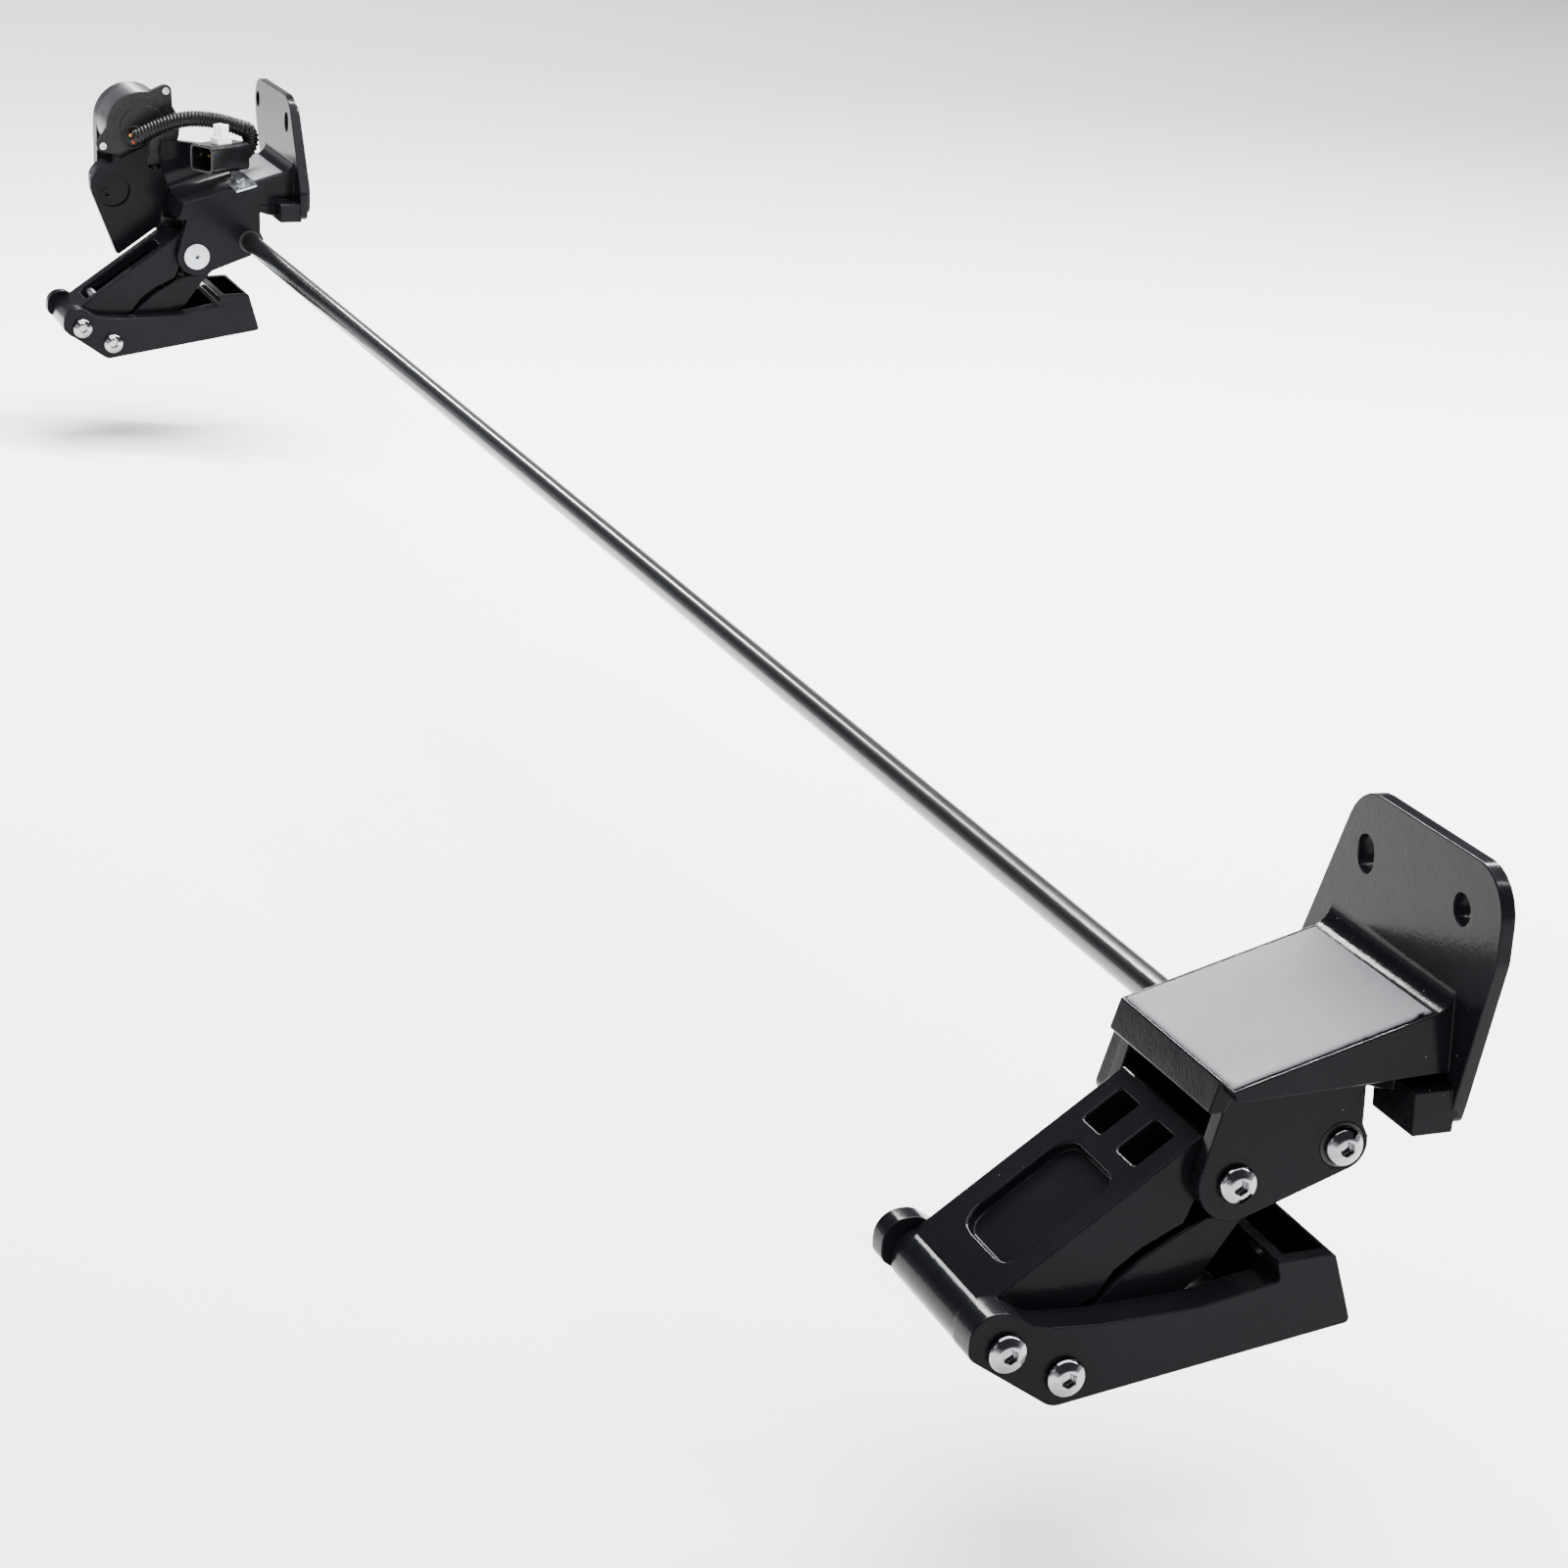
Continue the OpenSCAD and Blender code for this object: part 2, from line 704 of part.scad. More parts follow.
module drive_bracket() {
    color(casting) difference() {
        union() {
            bracket_body(drive_hole_x, 18, 102, 10);
            foot(-21, 17, 35, 13);
            foot(66, 17, 22, 12);
            slab(housing_x0, housing_x0 + front_wall) window_wall_outline();
            housing_blend();
        }
        bracket_bores();
        slab(sector_x0 - 1, sector_x1 + 0.3) translate(arm_axis) circle(r = sector_room);
    }
}

module gear_case() {
    tunnel_r = 12;
    color("#26272b") difference() {
        union() {
            slab(case_x0, case_x1) polygon(belt(motor_axis, can_r, final_axis, case_lobe_r));
            bar(final_axis, tunnel_r, housing_x1, case_x0 + 1);
        }
        slab(case_x0 + case_wall, case_x1 + eps)
            polygon(belt(motor_axis, can_r - 4, final_axis, case_lobe_r - case_wall));
        bar(final_axis, final_shaft_r + run_gap, housing_x1 - 1, case_x1);
        bar(motor_axis, rotor_shaft_r + run_gap, case_x0 - 1, case_x1);
        bar(idler_axis, idler_pin_r, case_x0 + 1, case_x1);
    }
}

module gear_case_cover() {
    color("#26272b") slab(case_x1, case_x1 + cover_t)
        polygon(belt(motor_axis, can_r, final_axis, case_lobe_r));
}

module motor_can() {
    wall = 2;
    color("#3a3b3f") difference() {
        bar(motor_axis, can_r, cap_x1, cap_x1 + can_l);
        bar(motor_axis, can_r - wall, cap_x1 - eps, case_x0 + eps);
    }
}

module cap_outline() {
    circle(r = can_r + 0.4);
    for (a = lobe_angles) polygon(belt([0, 0], can_r - 4, lobe_reach * [cos(a), sin(a)], 4.4));
}

module motor_cap() {
    gland = [-7.5, -6];
    color("#17181a") difference() {
        union() {
            slab(cap_x0, cap_x1) translate(motor_axis) cap_outline();
            bar(motor_axis, 17, cap_x0 - 1, cap_x0 + eps);
            for (a = [20:15:160]) bar(motor_axis + 21.5 * [cos(a), sin(a)], 1.1, cap_x0 - 0.8, cap_x0 + eps);
            bar(motor_axis + gland, conduit_r + 2, cap_x0 - 2.5, cap_x0 + eps);
        }
        bar(motor_axis, rotor_shaft_r + run_gap, cap_x0 + 1.6, cap_x1 + eps);
        for (a = lobe_angles) bar(motor_axis + lobe_reach * [cos(a), sin(a)], 1.8, cap_x0 - 2, cap_x1 + 1);
        bar(motor_axis + gland, conduit_r + 0.8, cap_x0 - 4, cap_x0);
    }
}

module motor_screw(a) {
    color(steel) difference() {
        union() {
            bar(motor_axis + lobe_reach * [cos(a), sin(a)], 2.6, cap_x0 - 1.6, cap_x0);
            bar(motor_axis + lobe_reach * [cos(a), sin(a)], 1.8, cap_x0 - eps, cap_x1 + 2);
        }
        translate([cap_x0 - 3, 0, 0]) bar(motor_axis + lobe_reach * [cos(a), sin(a)], 1.2, 0, 2.4);
    }
}

// ---- drive: lead and small parts ----

// Local frame at the connector's mouth: Y runs from its mouth to its back
module at_mouth() {
    translate(mouth) rotate([0, 0, -connector_yaw]) children();
}

module connector_shell() {
    w = connector_size[0];
    l = connector_size[1];
    h = connector_size[2];
    wall = 2;
    socket_l = 22;
    color("#232427") at_mouth() difference() {
        translate([0, l, 0]) rotate([90, 0, 0]) linear_extrude(height = l) polygon(rounded([
            for (c = [[-1, -1], [1, -1], [1, 1], [-1, 1]]) [c[0] * w / 2, c[1] * h / 2, 3.5]
        ]));
        translate([0, socket_l, 0]) rotate([90, 0, 0]) linear_extrude(height = socket_l + 1)
            polygon(rounded([for (c = [[-1, -1], [1, -1], [1, 1], [-1, 1]])
                [c[0] * (w / 2 - wall), c[1] * (h / 2 - wall), 2.5]]));
        translate([0, l + 1, 0]) rotate([90, 0, 0]) cylinder(r = conduit_r + 0.8, h = 5);
    }
}

module connector_insert() {
    pin_r = 1.2;
    color("#8f7a3a") at_mouth() for (x = [-6, 0, 6])
        translate([x, 22, 0]) rotate([90, 0, 0]) cylinder(r = pin_r, h = 10);
}

module connector_clip() {
    color("#e6e6e2") at_mouth() translate([0, 9, connector_size[2] / 2]) {
        translate([-8.5, 0, 0]) cube([9, 13, 5]);
        for (x = [-8.5, -2.7]) translate([x, 3, 4.9]) cube([3.2, 7, 9]);
    }
}

module conduit() {
    color("#151618") tube(conduit_route, conduit_r);
}

module fixing_tab() {
    tab_t = 1.4;
    color("#c3c6cb") translate([2, -12, top_z(-12)]) rotate([top_slope, 0, 0]) difference() {
        linear_extrude(height = tab_t) polygon(rounded([
            [-18, -1, 1.5], [10, -1, 1.5], [10, 15, 1.5], [-18, 15, 1.5]
        ]));
        for (x = [-13, -8]) translate([x, 3, -1]) cube([2, 8, 4]);
        translate([5, 7.5, -1]) cylinder(r = 2.2, h = 4);
    }
}

module fixing_tab_screw() {
    color(steel) translate([2, -12, top_z(-12)]) rotate([top_slope, 0, 0]) translate([5, 7.5, 1.4]) {
        cylinder(r = 3.6, h = 2.4);
        translate([0, 0, -1.4]) cylinder(r = 2.2, h = 1.5);
    }
}

// ---- cross rod ----

module cross_rod() {
    length = unit_gap + 2 * cheek_span;
    color("#2a2b2e") difference() {
        bar(rod_axis, rod_r, -cheek_span, length - cheek_span);
        bar(rod_axis, screw_r, -cheek_span - 1, -cheek_span + screw_l);
        bar(rod_axis, screw_r, length - cheek_span - screw_l, length - cheek_span + 1);
    }
}

module rod_at_drive() {
    translate([drive_hole_x, -flange_back_y, -hole_z]) children();
}

rod_at_drive() cross_rod();

follower() follower_bracket();
follower() pad(-47.9, 25);  // follower_pad
follower() arm_pin();  // follower_arm_pin
follower()  // follower_arm_screw
    button_screw(arm_axis, cheek_span, screw_r, screw_l);
follower() rod_bush(-1, cheek_t);  // follower_bush_inner
follower() rod_bush(cheek_span - cheek_t, cheek_span);  // follower_bush_outer
follower()  // follower_rod_screw
    button_screw(rod_axis, cheek_span, screw_r, screw_l);
follower() follower_outer_arm();
follower() inner_arm(hub_x1);  // follower_inner_arm
follower() step_bracket(follower_walls);  // follower_step_bracket
follower()  // follower_tip_pin
    pivot_pin(tip_axis, step_pin_r, follower_walls[0], follower_walls[3]);
follower()  // follower_heel_pin
    pivot_pin(heel_axis, step_pin_r, follower_walls[0], follower_walls[3]);
follower()  // follower_tip_screw_inner
    mirrored_screw(tip_axis, follower_walls[0], screw_r, screw_l);
follower()  // follower_tip_screw_outer
    button_screw(tip_axis, follower_walls[3], screw_r, screw_l);
follower()  // follower_heel_screw_inner
    mirrored_screw(heel_axis, follower_walls[0], screw_r, screw_l);
follower()  // follower_heel_screw_outer
    button_screw(heel_axis, follower_walls[3], screw_r, screw_l);

drive() drive_bracket();
drive() pad(3, 25);  // drive_pad
drive() arm_pin();  // drive_arm_pin
drive()  // drive_arm_screw
    button_screw(arm_axis, cheek_span, screw_r, screw_l);
drive() rod_bush(-1, cheek_t);  // drive_bush_inner
drive() rod_bush(cheek_span - cheek_t, cheek_span);  // drive_bush_outer
drive()  // drive_rod_screw
    button_screw(rod_axis, cheek_span, screw_r, screw_l);
drive() drive_outer_arm();
drive() inner_arm(drive_arm_x1);  // drive_inner_arm
drive() step_bracket(drive_walls);  // drive_step_bracket
drive()  // drive_tip_pin
    pivot_pin(tip_axis, step_pin_r, drive_walls[0], drive_walls[3]);
drive()  // drive_heel_pin
    pivot_pin(heel_axis, step_pin_r, drive_walls[0], drive_walls[3]);
drive()  // drive_tip_screw_inner
    mirrored_screw(tip_axis, drive_walls[0], screw_r, screw_l);
drive()  // drive_tip_screw_outer
    button_screw(tip_axis, drive_walls[3], screw_r, screw_l);
drive()  // drive_heel_screw_inner
    mirrored_screw(heel_axis, drive_walls[0], screw_r, screw_l);
drive()  // drive_heel_screw_outer
    button_screw(heel_axis, drive_walls[3], screw_r, screw_l);

drive() sector_gear();
drive() final_pinion();
drive() final_shaft();
drive() final_wheel();
drive() idler_gear();
drive() idler_pin();
drive() motor_pinion();
drive() motor_rotor();
drive() gear_housing();
drive() gear_case();
drive() gear_case_cover();
drive() motor_can();
drive() motor_cap();
drive() motor_screw(lobe_angles[0]);  // motor_screw_1
drive() motor_screw(lobe_angles[1]);  // motor_screw_2
drive() motor_screw(lobe_angles[2]);  // motor_screw_3
drive() arm_roller();
drive() arm_roller_pin();
drive() conduit();
drive() connector_shell();
drive() connector_insert();
drive() connector_clip();
drive() fixing_tab();
drive() fixing_tab_screw();
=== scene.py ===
import json
import math

import bmesh
import bpy
from mathutils import Matrix, Vector
from mathutils.noise import noise


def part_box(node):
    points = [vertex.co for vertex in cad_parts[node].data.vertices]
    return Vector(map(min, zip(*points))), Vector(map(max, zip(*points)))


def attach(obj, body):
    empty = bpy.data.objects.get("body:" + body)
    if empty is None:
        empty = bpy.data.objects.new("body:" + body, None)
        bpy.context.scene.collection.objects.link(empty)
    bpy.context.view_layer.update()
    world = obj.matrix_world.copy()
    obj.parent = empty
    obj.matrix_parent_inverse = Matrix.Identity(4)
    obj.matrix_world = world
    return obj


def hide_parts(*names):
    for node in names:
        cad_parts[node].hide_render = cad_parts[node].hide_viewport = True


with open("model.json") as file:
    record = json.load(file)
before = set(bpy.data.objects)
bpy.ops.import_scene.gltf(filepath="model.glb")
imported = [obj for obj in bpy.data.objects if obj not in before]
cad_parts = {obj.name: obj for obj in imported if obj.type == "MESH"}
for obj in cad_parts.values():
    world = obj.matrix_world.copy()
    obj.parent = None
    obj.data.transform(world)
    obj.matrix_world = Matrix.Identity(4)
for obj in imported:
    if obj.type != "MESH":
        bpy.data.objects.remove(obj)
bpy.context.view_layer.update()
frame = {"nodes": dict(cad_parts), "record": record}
NODES = frame["nodes"]
COLLECTION = bpy.context.scene.collection
MM = 0.001

# The drive unit's coordinates (u outward, y, z in mm) and the follower unit's, in metres
BACK_Y, HOLE_Z = 41.4, 86.0
DRIVE_HOLE_X, UNIT_GAP = 116.0, 1629.0


def drive(u, y, z):
    return Vector((DRIVE_HOLE_X - u, y - BACK_Y, z - HOLE_Z)) * MM


def follower(u, y, z):
    return Vector((DRIVE_HOLE_X + UNIT_GAP + u, y - BACK_Y, z - HOLE_Z)) * MM


# ---- camera ----

def make_camera():
    azimuth, elevation, roll = math.radians(69.598), math.radians(18.107), math.radians(-1.920)
    back = Vector((math.sin(azimuth) * math.cos(elevation),
                   -math.cos(azimuth) * math.cos(elevation), math.sin(elevation)))
    right = (-back).cross(Vector((0, 0, 1))).normalized()
    down = (-back).cross(right)
    c, s = math.cos(roll), math.sin(roll)
    x_axis = c * right + s * down
    y_axis = -(-s * right + c * down)
    data = bpy.data.cameras.new("camera")
    data.sensor_width = 36.0
    data.lens = 4029.44 / 1600 * 36.0
    data.clip_start, data.clip_end = 0.05, 60.0
    camera = bpy.data.objects.new("camera", data)
    COLLECTION.objects.link(camera)
    place = Matrix((x_axis, y_axis, back)).transposed().to_4x4()
    place.translation = Vector((2.92453, -0.65805, 0.44418))
    camera.matrix_world = place
    bpy.context.scene.camera = camera


make_camera()


# ---- materials ----

class Graph:
    """A material's node tree with short helpers."""

    def __init__(self, name):
        self.material = bpy.data.materials.new(name)
        self.material.use_nodes = True
        self.tree = self.material.node_tree
        self.shader = self.tree.nodes["Principled BSDF"]
        self.place = self.add("ShaderNodeTexCoord").outputs["Object"]

    def add(self, kind, **values):
        node = self.tree.nodes.new(kind)
        for key, value in values.items():
            setattr(node, key, value)
        return node

    def link(self, source, target):
        self.tree.links.new(source, target)

    def noise(self, scale, detail=3.0, rough=0.5, stretch=None):
        node = self.add("ShaderNodeTexNoise")
        node.inputs["Scale"].default_value = scale
        node.inputs["Detail"].default_value = detail
        node.inputs["Roughness"].default_value = rough
        self.link(self.stretched(stretch), node.inputs["Vector"])
        return node.outputs["Fac"]

    def stretched(self, stretch):
        if stretch is None:
            return self.place
        mapping = self.add("ShaderNodeMapping")
        mapping.inputs["Scale"].default_value = stretch
        self.link(self.place, mapping.inputs["Vector"])
        return mapping.outputs["Vector"]

    def cells(self, scale, feature="F1", stretch=None):
        node = self.add("ShaderNodeTexVoronoi", feature=feature)
        node.inputs["Scale"].default_value = scale
        self.link(self.stretched(stretch), node.inputs["Vector"])
        return node.outputs["Distance"]

    def ramp(self, source, stops, smooth=False):
        node = self.add("ShaderNodeValToRGB")
        ramp = node.color_ramp
        if smooth:
            ramp.interpolation = "EASE"
        while len(ramp.elements) < len(stops):
            ramp.elements.new(0.5)
        for element, (at, colour) in zip(ramp.elements, stops):
            element.position = at
            if isinstance(colour, (int, float)):
                colour = (colour,) * 3
            element.color = (*colour, 1.0)
        self.link(source, node.inputs["Fac"])
        return node.outputs["Color"]

    def mix(self, factor, a, b, kind="MIX"):
        node = self.add("ShaderNodeMix", data_type="RGBA", blend_type=kind)
        for source, target in ((factor, "Factor"), (a, "A"), (b, "B")):
            socket = [i for i in node.inputs if i.name == target and
                      i.type == ("VALUE" if target == "Factor" else "RGBA")][0]
            if hasattr(source, "is_linked"):
                self.link(source, socket)
            elif target == "Factor":
                socket.default_value = source
            else:
                socket.default_value = (*source, 1.0)
        return [o for o in node.outputs if o.type == "RGBA"][0]

    def maths(self, kind, a, b):
        node = self.add("ShaderNodeMath", operation=kind)
        for source, socket in zip((a, b), node.inputs):
            if hasattr(source, "is_linked"):
                self.link(source, socket)
            else:
                socket.default_value = source
        return node.outputs[0]

    def bump(self, *layers):
        """layers are (height, strength, depth in metres)."""
        last = None
        for height, strength, depth in layers:
            node = self.add("ShaderNodeBump")
            node.inputs["Strength"].default_value = strength
            node.inputs["Distance"].default_value = depth
            self.link(height, node.inputs["Height"])
            if last is not None:
                self.link(last, node.inputs["Normal"])
            last = node.outputs["Normal"]
        self.link(last, self.shader.inputs["Normal"])

    def set(self, **values):
        for key, value in values.items():
            socket = self.shader.inputs[key.replace("_", " ")]
            if hasattr(value, "is_linked"):
                self.link(value, socket)
            else:
                socket.default_value = value
        return self


def black_paint(name, base, haze, rough, specular, peel=0.12, specks=True):
    """Sprayed or dipped black finish: faint cloudiness, orange peel, a few dust specks."""
    g = Graph(name)
    cloud = g.noise(14.0, 4.0)
    colour = g.ramp(cloud, [(0.3, base), (0.75, haze)])
    if specks:
        dust = g.ramp(g.cells(150.0), [(0.0, 1.0), (0.035, 1.0), (0.05, 0.0)])
        spread = g.ramp(g.noise(9.0, 1.0), [(0.56, 0.0), (0.62, 1.0)])
        dust = g.maths("MULTIPLY", dust, spread)
        colour = g.mix(dust, colour, (0.10, 0.10, 0.105))
    g.set(Base_Color=colour,
          Roughness=g.ramp(g.noise(55.0, 5.0, 0.6), [(0.25, rough[0]), (0.8, rough[1])]))
    g.set(**{"Specular_IOR_Level": specular})
    if peel > 0.0:
        g.bump((g.noise(700.0, 2.0), peel, 0.0004), (g.noise(60.0, 2.0), peel * 0.7, 0.0012))
    return g.material


def bare_metal(name, tint, dark, rough, brush, scale=2.0):
    """Turned or plated metal: fine scratches along one axis, slight staining."""
    g = Graph(name)
    stain = g.noise(40.0, 4.0)
    g.set(Base_Color=g.ramp(stain, [(0.3, dark), (0.65, tint)]), Metallic=1.0,
          Roughness=g.ramp(g.noise(90.0 * scale, 4.0, 0.7, brush), [(0.2, rough[0]), (0.85, rough[1])]))
    g.bump((g.noise(300.0 * scale, 2.0, 0.5, brush), 0.10, 0.0002))
    return g.material


def moulded(name, base, haze, rough, specular, grain=0.15, grain_scale=900.0):
    g = Graph(name)
    g.set(Base_Color=g.ramp(g.noise(25.0, 3.0), [(0.3, base), (0.7, haze)]),
          Roughness=g.ramp(g.noise(120.0, 3.0), [(0.3, rough[0]), (0.8, rough[1])]))
    g.set(**{"Specular_IOR_Level": specular})
    g.bump((g.noise(grain_scale, 2.0), grain, 0.0003))
    return g.material


def foam_material():
    g = Graph("foam")
    cells = g.cells(1400.0)
    blotch = g.ramp(g.noise(26.0, 3.0), [(0.3, (0.150, 0.153, 0.162)), (0.75, (0.172, 0.175, 0.184))])
    # painted shade: each pore's centre is darkened in the colour, as shade in the pore hollows
    pore_shade = g.ramp(cells, [(0.0, 0.82), (0.35, 1.0)])
    g.set(Base_Color=g.mix(1.0, blotch, pore_shade, "MULTIPLY"),
          Roughness=g.ramp(g.noise(200.0), [(0.3, 0.85), (0.7, 0.97)]))
    g.set(**{"Specular_IOR_Level": 0.25})
    g.bump((cells, 0.35, 0.0003), (g.noise(90.0, 3.0), 0.2, 0.0006))
    return g.material


def wire_material(name, base, haze):
    return moulded(name, base, haze, (0.35, 0.5), 0.4, 0.08)


ALONG_X = (0.12, 1.0, 1.0)
MATERIALS = {
    "casting": black_paint("casting", (0.0034, 0.0036, 0.0046), (0.0050, 0.0053, 0.0066),
                           (0.13, 0.20), 0.05),
    "rod_black": black_paint("rod_black", (0.0045, 0.0047, 0.0052), (0.0062, 0.0064, 0.007),
                             (0.20, 0.24), 0.36, 0.0, False),
    "motor_paint": black_paint("motor_paint", (0.012, 0.0125, 0.0135), (0.018, 0.0185, 0.020),
                               (0.30, 0.40), 0.30, 0.08),
    "case_black": black_paint("case_black", (0.0045, 0.0047, 0.0055), (0.0075, 0.0078, 0.009),
                              (0.30, 0.40), 0.18),
    "stainless": bare_metal("stainless", (0.27, 0.27, 0.28), (0.19, 0.19, 0.20),
                            (0.08, 0.16), None),
    "zinc": bare_metal("zinc", (0.38, 0.40, 0.42), (0.26, 0.275, 0.29), (0.20, 0.36), None),
    "gear_steel": bare_metal("gear_steel", (0.50, 0.50, 0.52), (0.34, 0.33, 0.33),
                             (0.22, 0.40), ALONG_X),
    "copper": bare_metal("copper", (0.55, 0.26, 0.13), (0.32, 0.15, 0.09), (0.25, 0.45), ALONG_X),
    "contact_gold": bare_metal("contact_gold", (0.80, 0.60, 0.28), (0.62, 0.45, 0.20),
                               (0.18, 0.30), None),
    "bush": moulded("bush", (0.012, 0.012, 0.013), (0.02, 0.02, 0.022), (0.45, 0.6), 0.2),
    "gear_nylon": moulded("gear_nylon", (0.62, 0.60, 0.53), (0.72, 0.70, 0.62), (0.4, 0.55), 0.5),
    "plastic_black": moulded("plastic_black", (0.0035, 0.0035, 0.004), (0.006, 0.006, 0.007),
                             (0.30, 0.44), 0.16, 0.25),
    "conduit_black": moulded("conduit_black", (0.0035, 0.0035, 0.004), (0.006, 0.006, 0.007),
                             (0.24, 0.36), 0.14, 0.10),
    "connector_black": moulded("connector_black", (0.004, 0.004, 0.0045), (0.0065, 0.0065, 0.0075),
                               (0.14, 0.24), 0.25, 0.05),
    "clip_white": moulded("clip_white", (0.74, 0.74, 0.71), (0.84, 0.84, 0.81), (0.35, 0.5), 0.5,
                          0.10),
    "foam": foam_material(),
}
WIRE_RED = wire_material("wire_red", (0.42, 0.035, 0.02), (0.55, 0.06, 0.03))
WIRE_ORANGE = wire_material("wire_orange", (0.55, 0.20, 0.05), (0.68, 0.28, 0.08))


def paint(obj, material):
    obj.data.materials.clear()
    obj.data.materials.append(material)


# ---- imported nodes: finish and softened edges ----

BEVEL = {"casting": 0.9, "case_black": 0.5, "motor_paint": 0.4, "plastic_black": 0.3,
         "connector_black": 0.4, "clip_white": 0.4, "zinc": 0.15, "stainless": 0.25,
         "rod_black": 0.5, "gear_steel": 0.12, "gear_nylon": 0.12, "bush": 0.2}

# The brackets have only 1.5 mm of wall around the rod's bushes
THIN_RING_BEVEL = 0.55
THIN_WALLED = ("follower_bracket", "drive_bracket", "follower_step_bracket", "drive_step_bracket",
               "gear_housing")


def soften(obj, width_mm, segments=3):
    """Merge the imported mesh's doubled points, join its flat triangles, round its sharp edges."""
    weld = obj.modifiers.new("weld", "WELD")
    weld.merge_threshold = 2e-5
    flat = obj.modifiers.new("flat", "DECIMATE")
    flat.decimate_type = "DISSOLVE"
    flat.angle_limit = math.radians(0.6)
    bevel = obj.modifiers.new("bevel", "BEVEL")
    bevel.width = width_mm * MM
    bevel.segments = segments
    bevel.limit_method = "ANGLE"
    bevel.angle_limit = math.radians(32)
    bevel.use_clamp_overlap = obj.name == "gear_housing"
    bevel.miter_outer = "MITER_ARC"
    even = obj.modifiers.new("even_normals", "WEIGHTED_NORMAL")
    even.mode = "FACE_AREA"
    even.weight = 100
    even.keep_sharp = False


for mesh_node in NODES.values():
    mesh_node.data.polygons.foreach_set("use_smooth", [True] * len(mesh_node.data.polygons))

SLOT_OF = {part["node"]: part["material_slot"] for part in frame["record"]["subparts"]}
for name, node in NODES.items():
    paint(node, MATERIALS[SLOT_OF[name]])
    if SLOT_OF[name] in BEVEL:
        soften(node, THIN_RING_BEVEL if name in THIN_WALLED else BEVEL[SLOT_OF[name]])


# ---- mesh helpers ----

def add_mesh(name, bm, material, body, smooth=True):
    mesh = bpy.data.meshes.new(name)
    bm.normal_update()
    bm.to_mesh(mesh)
    bm.free()
    mesh.polygons.foreach_set("use_smooth", [smooth] * len(mesh.polygons))
    obj = bpy.data.objects.new(name, mesh)
    COLLECTION.objects.link(obj)
    paint(obj, material)
    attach(obj, body)
    return obj


def curve_points(points, steps):
    """Catmull-Rom curve through the route's points."""
    out = []
    last = len(points) - 1
    for i in range(last):
        a, b = points[max(i - 1, 0)], points[i]
        c, d = points[i + 1], points[min(i + 2, last)]
        for k in range(steps):
            t = k / steps
            out.append(0.5 * (2 * b + (c - a) * t + (2 * a - 5 * b + 4 * c - d) * t * t
                              + (3 * b - a - 3 * c + d) * t ** 3))
    out.append(points[-1])
    return out


def even_points(points, spacing):
    """Points along a polyline at an even spacing, both ends kept."""
    lengths = [0.0]
    for a, b in zip(points, points[1:]):
        lengths.append(lengths[-1] + (b - a).length)
    count = max(2, round(lengths[-1] / spacing))
    out, j = [], 0
    for i in range(count + 1):
        want = lengths[-1] * i / count
        while j < len(points) - 2 and lengths[j + 1] < want:
            j += 1
        span = lengths[j + 1] - lengths[j]
        t = 0.0 if span == 0 else min(1.0, (want - lengths[j]) / span)
        out.append(points[j].lerp(points[j + 1], t))
    return out, lengths[-1]


def sweep(points, radius_at, sides=24, cap=True):
    """A closed tube along points; radius_at(i) gives each ring's radius."""
    bm = bmesh.new()
    rings = []
    normal = None
    for i, p in enumerate(points):
        tangent = (points[min(i + 1, len(points) - 1)] - points[max(i - 1, 0)]).normalized()
        if normal is None:
            normal = tangent.orthogonal().normalized()
        normal = (normal - tangent * normal.dot(tangent)).normalized()
        other = tangent.cross(normal)
        r = radius_at(i)
        rings.append([bm.verts.new(p + r * (math.cos(a) * normal + math.sin(a) * other))
                      for a in (2 * math.pi * k / sides for k in range(sides))])
    for one, two in zip(rings, rings[1:]):
        for k in range(sides):
            bm.faces.new((one[k], one[(k + 1) % sides], two[(k + 1) % sides], two[k]))
    if cap:
        bm.faces.new(list(reversed(rings[0])))
        bm.faces.new(rings[-1])
    return bm


# ---- conduit ----

ROUTE = [(61.9, -72.4, 68), (57, -72.4, 68), (52, -69.5, 69.8), (48.5, -62, 74.5), (45.5, -50, 80),
         (42.5, -36, 83.3), (40, -20, 82.8), (38.2, -8, 80.2), (37.4, 1.7, 77), (40.5, 7.6, 74.2),
         (41.8, 10.1, 67.5), (40.5, 7.6, 60.8), (37.4, 1.7, 58), (35, -2.7, 58)]
CONDUIT_R = 6.2 * MM
RIB_PITCH, RIB_DEPTH, RIB_STEPS = 2.4 * MM, 0.9 * MM, 6
WIRE_R = 1.1 * MM


def build_conduit():
    whole = curve_points([drive(*p) for p in ROUTE], 16)
    line, _ = even_points(whole, RIB_PITCH / RIB_STEPS)
    bare = round(9.0 * MM / (RIB_PITCH / RIB_STEPS))
    line_shown = line[bare:]

    def radius(i):
        wave = math.cos(2 * math.pi * i / RIB_STEPS)
        return CONDUIT_R - RIB_DEPTH * (0.5 - 0.5 * max(-1.0, min(1.0, 1.6 * wave)))

    tube = add_mesh("conduit_ribbed", sweep(line_shown, radius, 28),
                    MATERIALS["conduit_black"], "frame")
    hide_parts("conduit")
    for k, (material, angle) in enumerate(((WIRE_RED, 20), (WIRE_ORANGE, 140), (WIRE_RED, 260))):
        offset = Vector((0, math.cos(math.radians(angle)), math.sin(math.radians(angle))))
        path = [p + offset * (2.4 * MM + 0.5 * MM * math.sin(math.pi * i / (bare + 6)))
                for i, p in enumerate(line[:bare + 6])]
        add_mesh(f"lead_wire_{k + 1}", sweep(path, lambda i: WIRE_R, 12),
                              material, "frame")


build_conduit()


# ---- foam pads ----

TOP_SLOPE, TOP_Z0 = math.radians(15.35), 42.3


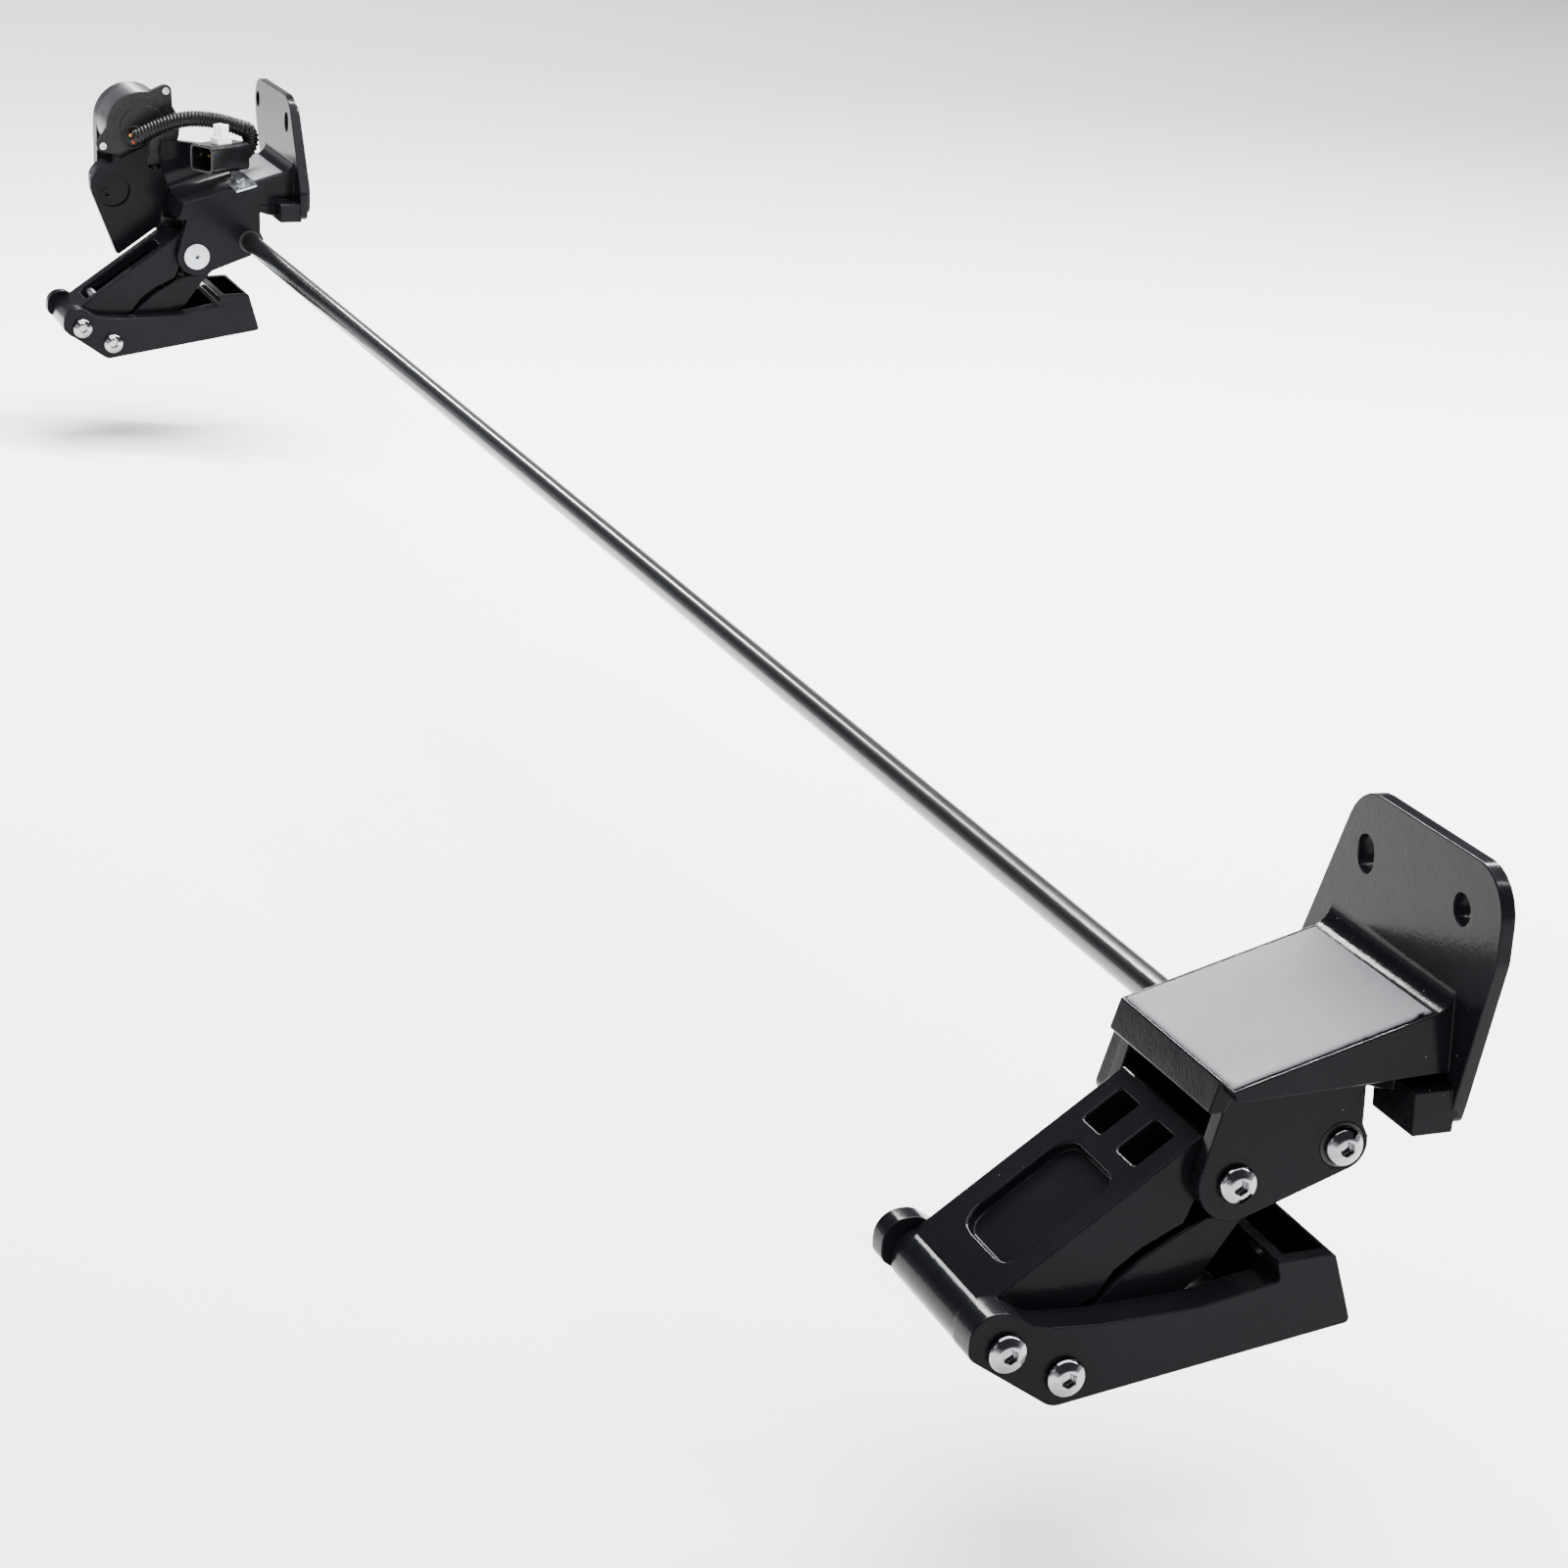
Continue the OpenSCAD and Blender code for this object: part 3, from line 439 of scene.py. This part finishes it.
def build_pad(node, body, ragged):
    """A thin foam sheet stuck to the top plate, with a soft edge and a torn rear corner."""
    low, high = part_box(node)
    thick = 1.2 * MM
    nx, ny = 96, 96
    bm = bmesh.new()
    top, bottom = [], []

    def surface(x, y):
        unit_y = y / MM + BACK_Y
        return (TOP_Z0 + unit_y * math.tan(TOP_SLOPE) - HOLE_Z) * MM

    for j in range(ny + 1):
        top_row, bottom_row = [], []
        for i in range(nx + 1):
            s, t = i / nx, j / ny
            x = low.x + (high.x - low.x) * s
            y = low.y + (high.y - low.y) * t
            edge = min(s, 1 - s) * (high.x - low.x)
            rear = min(t, 1 - t) * (high.y - low.y)
            wobble = 0.35 * MM * (0.5 + 0.5 * noise(Vector((x * 160, y * 160, 3.0))))
            tear = 0.0
            if ragged and s > 0.5 and t > 0.55:
                tear = 2.6 * MM * max(0.0, noise(Vector((x * 420, y * 420, 7.0)))) * \
                    min(1.0, (t - 0.55) / 0.25)
            if i in (0, nx):
                x += (wobble + (tear if i == nx else 0)) * (1 if i == 0 else -1)
            if j in (0, ny):
                y += wobble * (1 if j == 0 else -1)
            near_edge = min(edge, rear)
            lift = thick * (0.55 + 0.45 * math.sqrt(min(1.0, near_edge / (1.3 * MM))))
            lift += 0.04 * MM * noise(Vector((x * 300, y * 300, 0.0)))
            z = surface(x, y)
            top_row.append(bm.verts.new((x, y, z + min(lift, thick))))
            bottom_row.append(bm.verts.new((x, y, z)))
        top.append(top_row)
        bottom.append(bottom_row)
    for j in range(ny):
        for i in range(nx):
            bm.faces.new((top[j][i], top[j][i + 1], top[j + 1][i + 1], top[j + 1][i]))
            bm.faces.new((bottom[j][i], bottom[j + 1][i], bottom[j + 1][i + 1], bottom[j][i + 1]))
    for i in range(nx):
        bm.faces.new((bottom[0][i], bottom[0][i + 1], top[0][i + 1], top[0][i]))
        bm.faces.new((bottom[ny][i + 1], bottom[ny][i], top[ny][i], top[ny][i + 1]))
    for j in range(ny):
        bm.faces.new((bottom[j + 1][0], bottom[j][0], top[j][0], top[j + 1][0]))
        bm.faces.new((bottom[j][nx], bottom[j + 1][nx], top[j + 1][nx], top[j][nx]))
    pad = add_mesh(node + "_foam", bm, MATERIALS["foam"], body)
    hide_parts(node)


build_pad("follower_pad", "frame", True)
build_pad("drive_pad", "frame", False)


# ---- floor and light ----

# Just below the step brackets at the end of their travel
FLOOR_Z = -0.23


def make_floor():
    low = FLOOR_Z
    bm = bmesh.new()
    side = 30.0
    corners = [bm.verts.new((x, y, low)) for x, y in ((-side, -side), (side, -side),
                                                      (side, side), (-side, side))]
    bm.faces.new(corners)
    mesh = bpy.data.meshes.new("floor")
    bm.to_mesh(mesh)
    bm.free()
    floor = bpy.data.objects.new("floor", mesh)
    COLLECTION.objects.link(floor)
    g = Graph("floor")
    g.set(Base_Color=g.ramp(g.noise(3.0), [(0.3, (0.90, 0.90, 0.90)), (0.7, (0.92, 0.92, 0.92))]),
          Roughness=0.9)
    g.set(**{"Specular_IOR_Level": 0.0})
    paint(floor, g.material)


def make_light(name, place, target, size, watts, colour=(1.0, 1.0, 1.0)):
    data = bpy.data.lights.new(name, "AREA")
    data.shape = "RECTANGLE"
    data.size, data.size_y = size
    data.energy = watts
    data.color = colour
    light = bpy.data.objects.new(name, data)
    COLLECTION.objects.link(light)
    light.location = place
    light.rotation_mode = "QUATERNION"
    light.rotation_quaternion = (Vector(place) - Vector(target)).to_track_quat("Z", "Y")


def make_world():
    world = bpy.data.worlds.new("studio")
    bpy.context.scene.world = world
    world.use_nodes = True
    tree = world.node_tree
    place = tree.nodes.new("ShaderNodeTexCoord")
    split = tree.nodes.new("ShaderNodeSeparateXYZ")
    height = tree.nodes.new("ShaderNodeValToRGB")
    low, high = height.color_ramp.elements
    low.position, low.color = 0.09, (0.95, 0.96, 1.0, 1.0)
    high.position, high.color = 0.22, (0.10, 0.105, 0.12, 1.0)
    tree.links.new(place.outputs["Generated"], split.inputs["Vector"])
    tree.links.new(split.outputs["Z"], height.inputs["Fac"])
    tree.links.new(height.outputs["Color"], tree.nodes["Background"].inputs["Color"])


make_floor()
make_world()
make_light("overhead", (0.9, -0.1, 2.6), (0.9, -0.1, 0.0), (5.0, 3.0), 360.0)
make_light("strip_back", (0.2, 1.0, 1.5), (1.6, 0.0, 0.0), (3.0, 0.10), 260.0)
make_light("strip_side", (2.3, 0.9, 0.9), (1.75, 0.0, 0.0), (0.06, 1.2), 30.0)
make_light("strip_far", (-3.0, 0.41, 1.55), (0.9, 0.0, -0.04), (0.12, 1.1), 60.0)
make_light("front", (3.6, -2.6, 1.1), (1.6, 0.0, -0.1), (1.6, 1.0), 8.0)
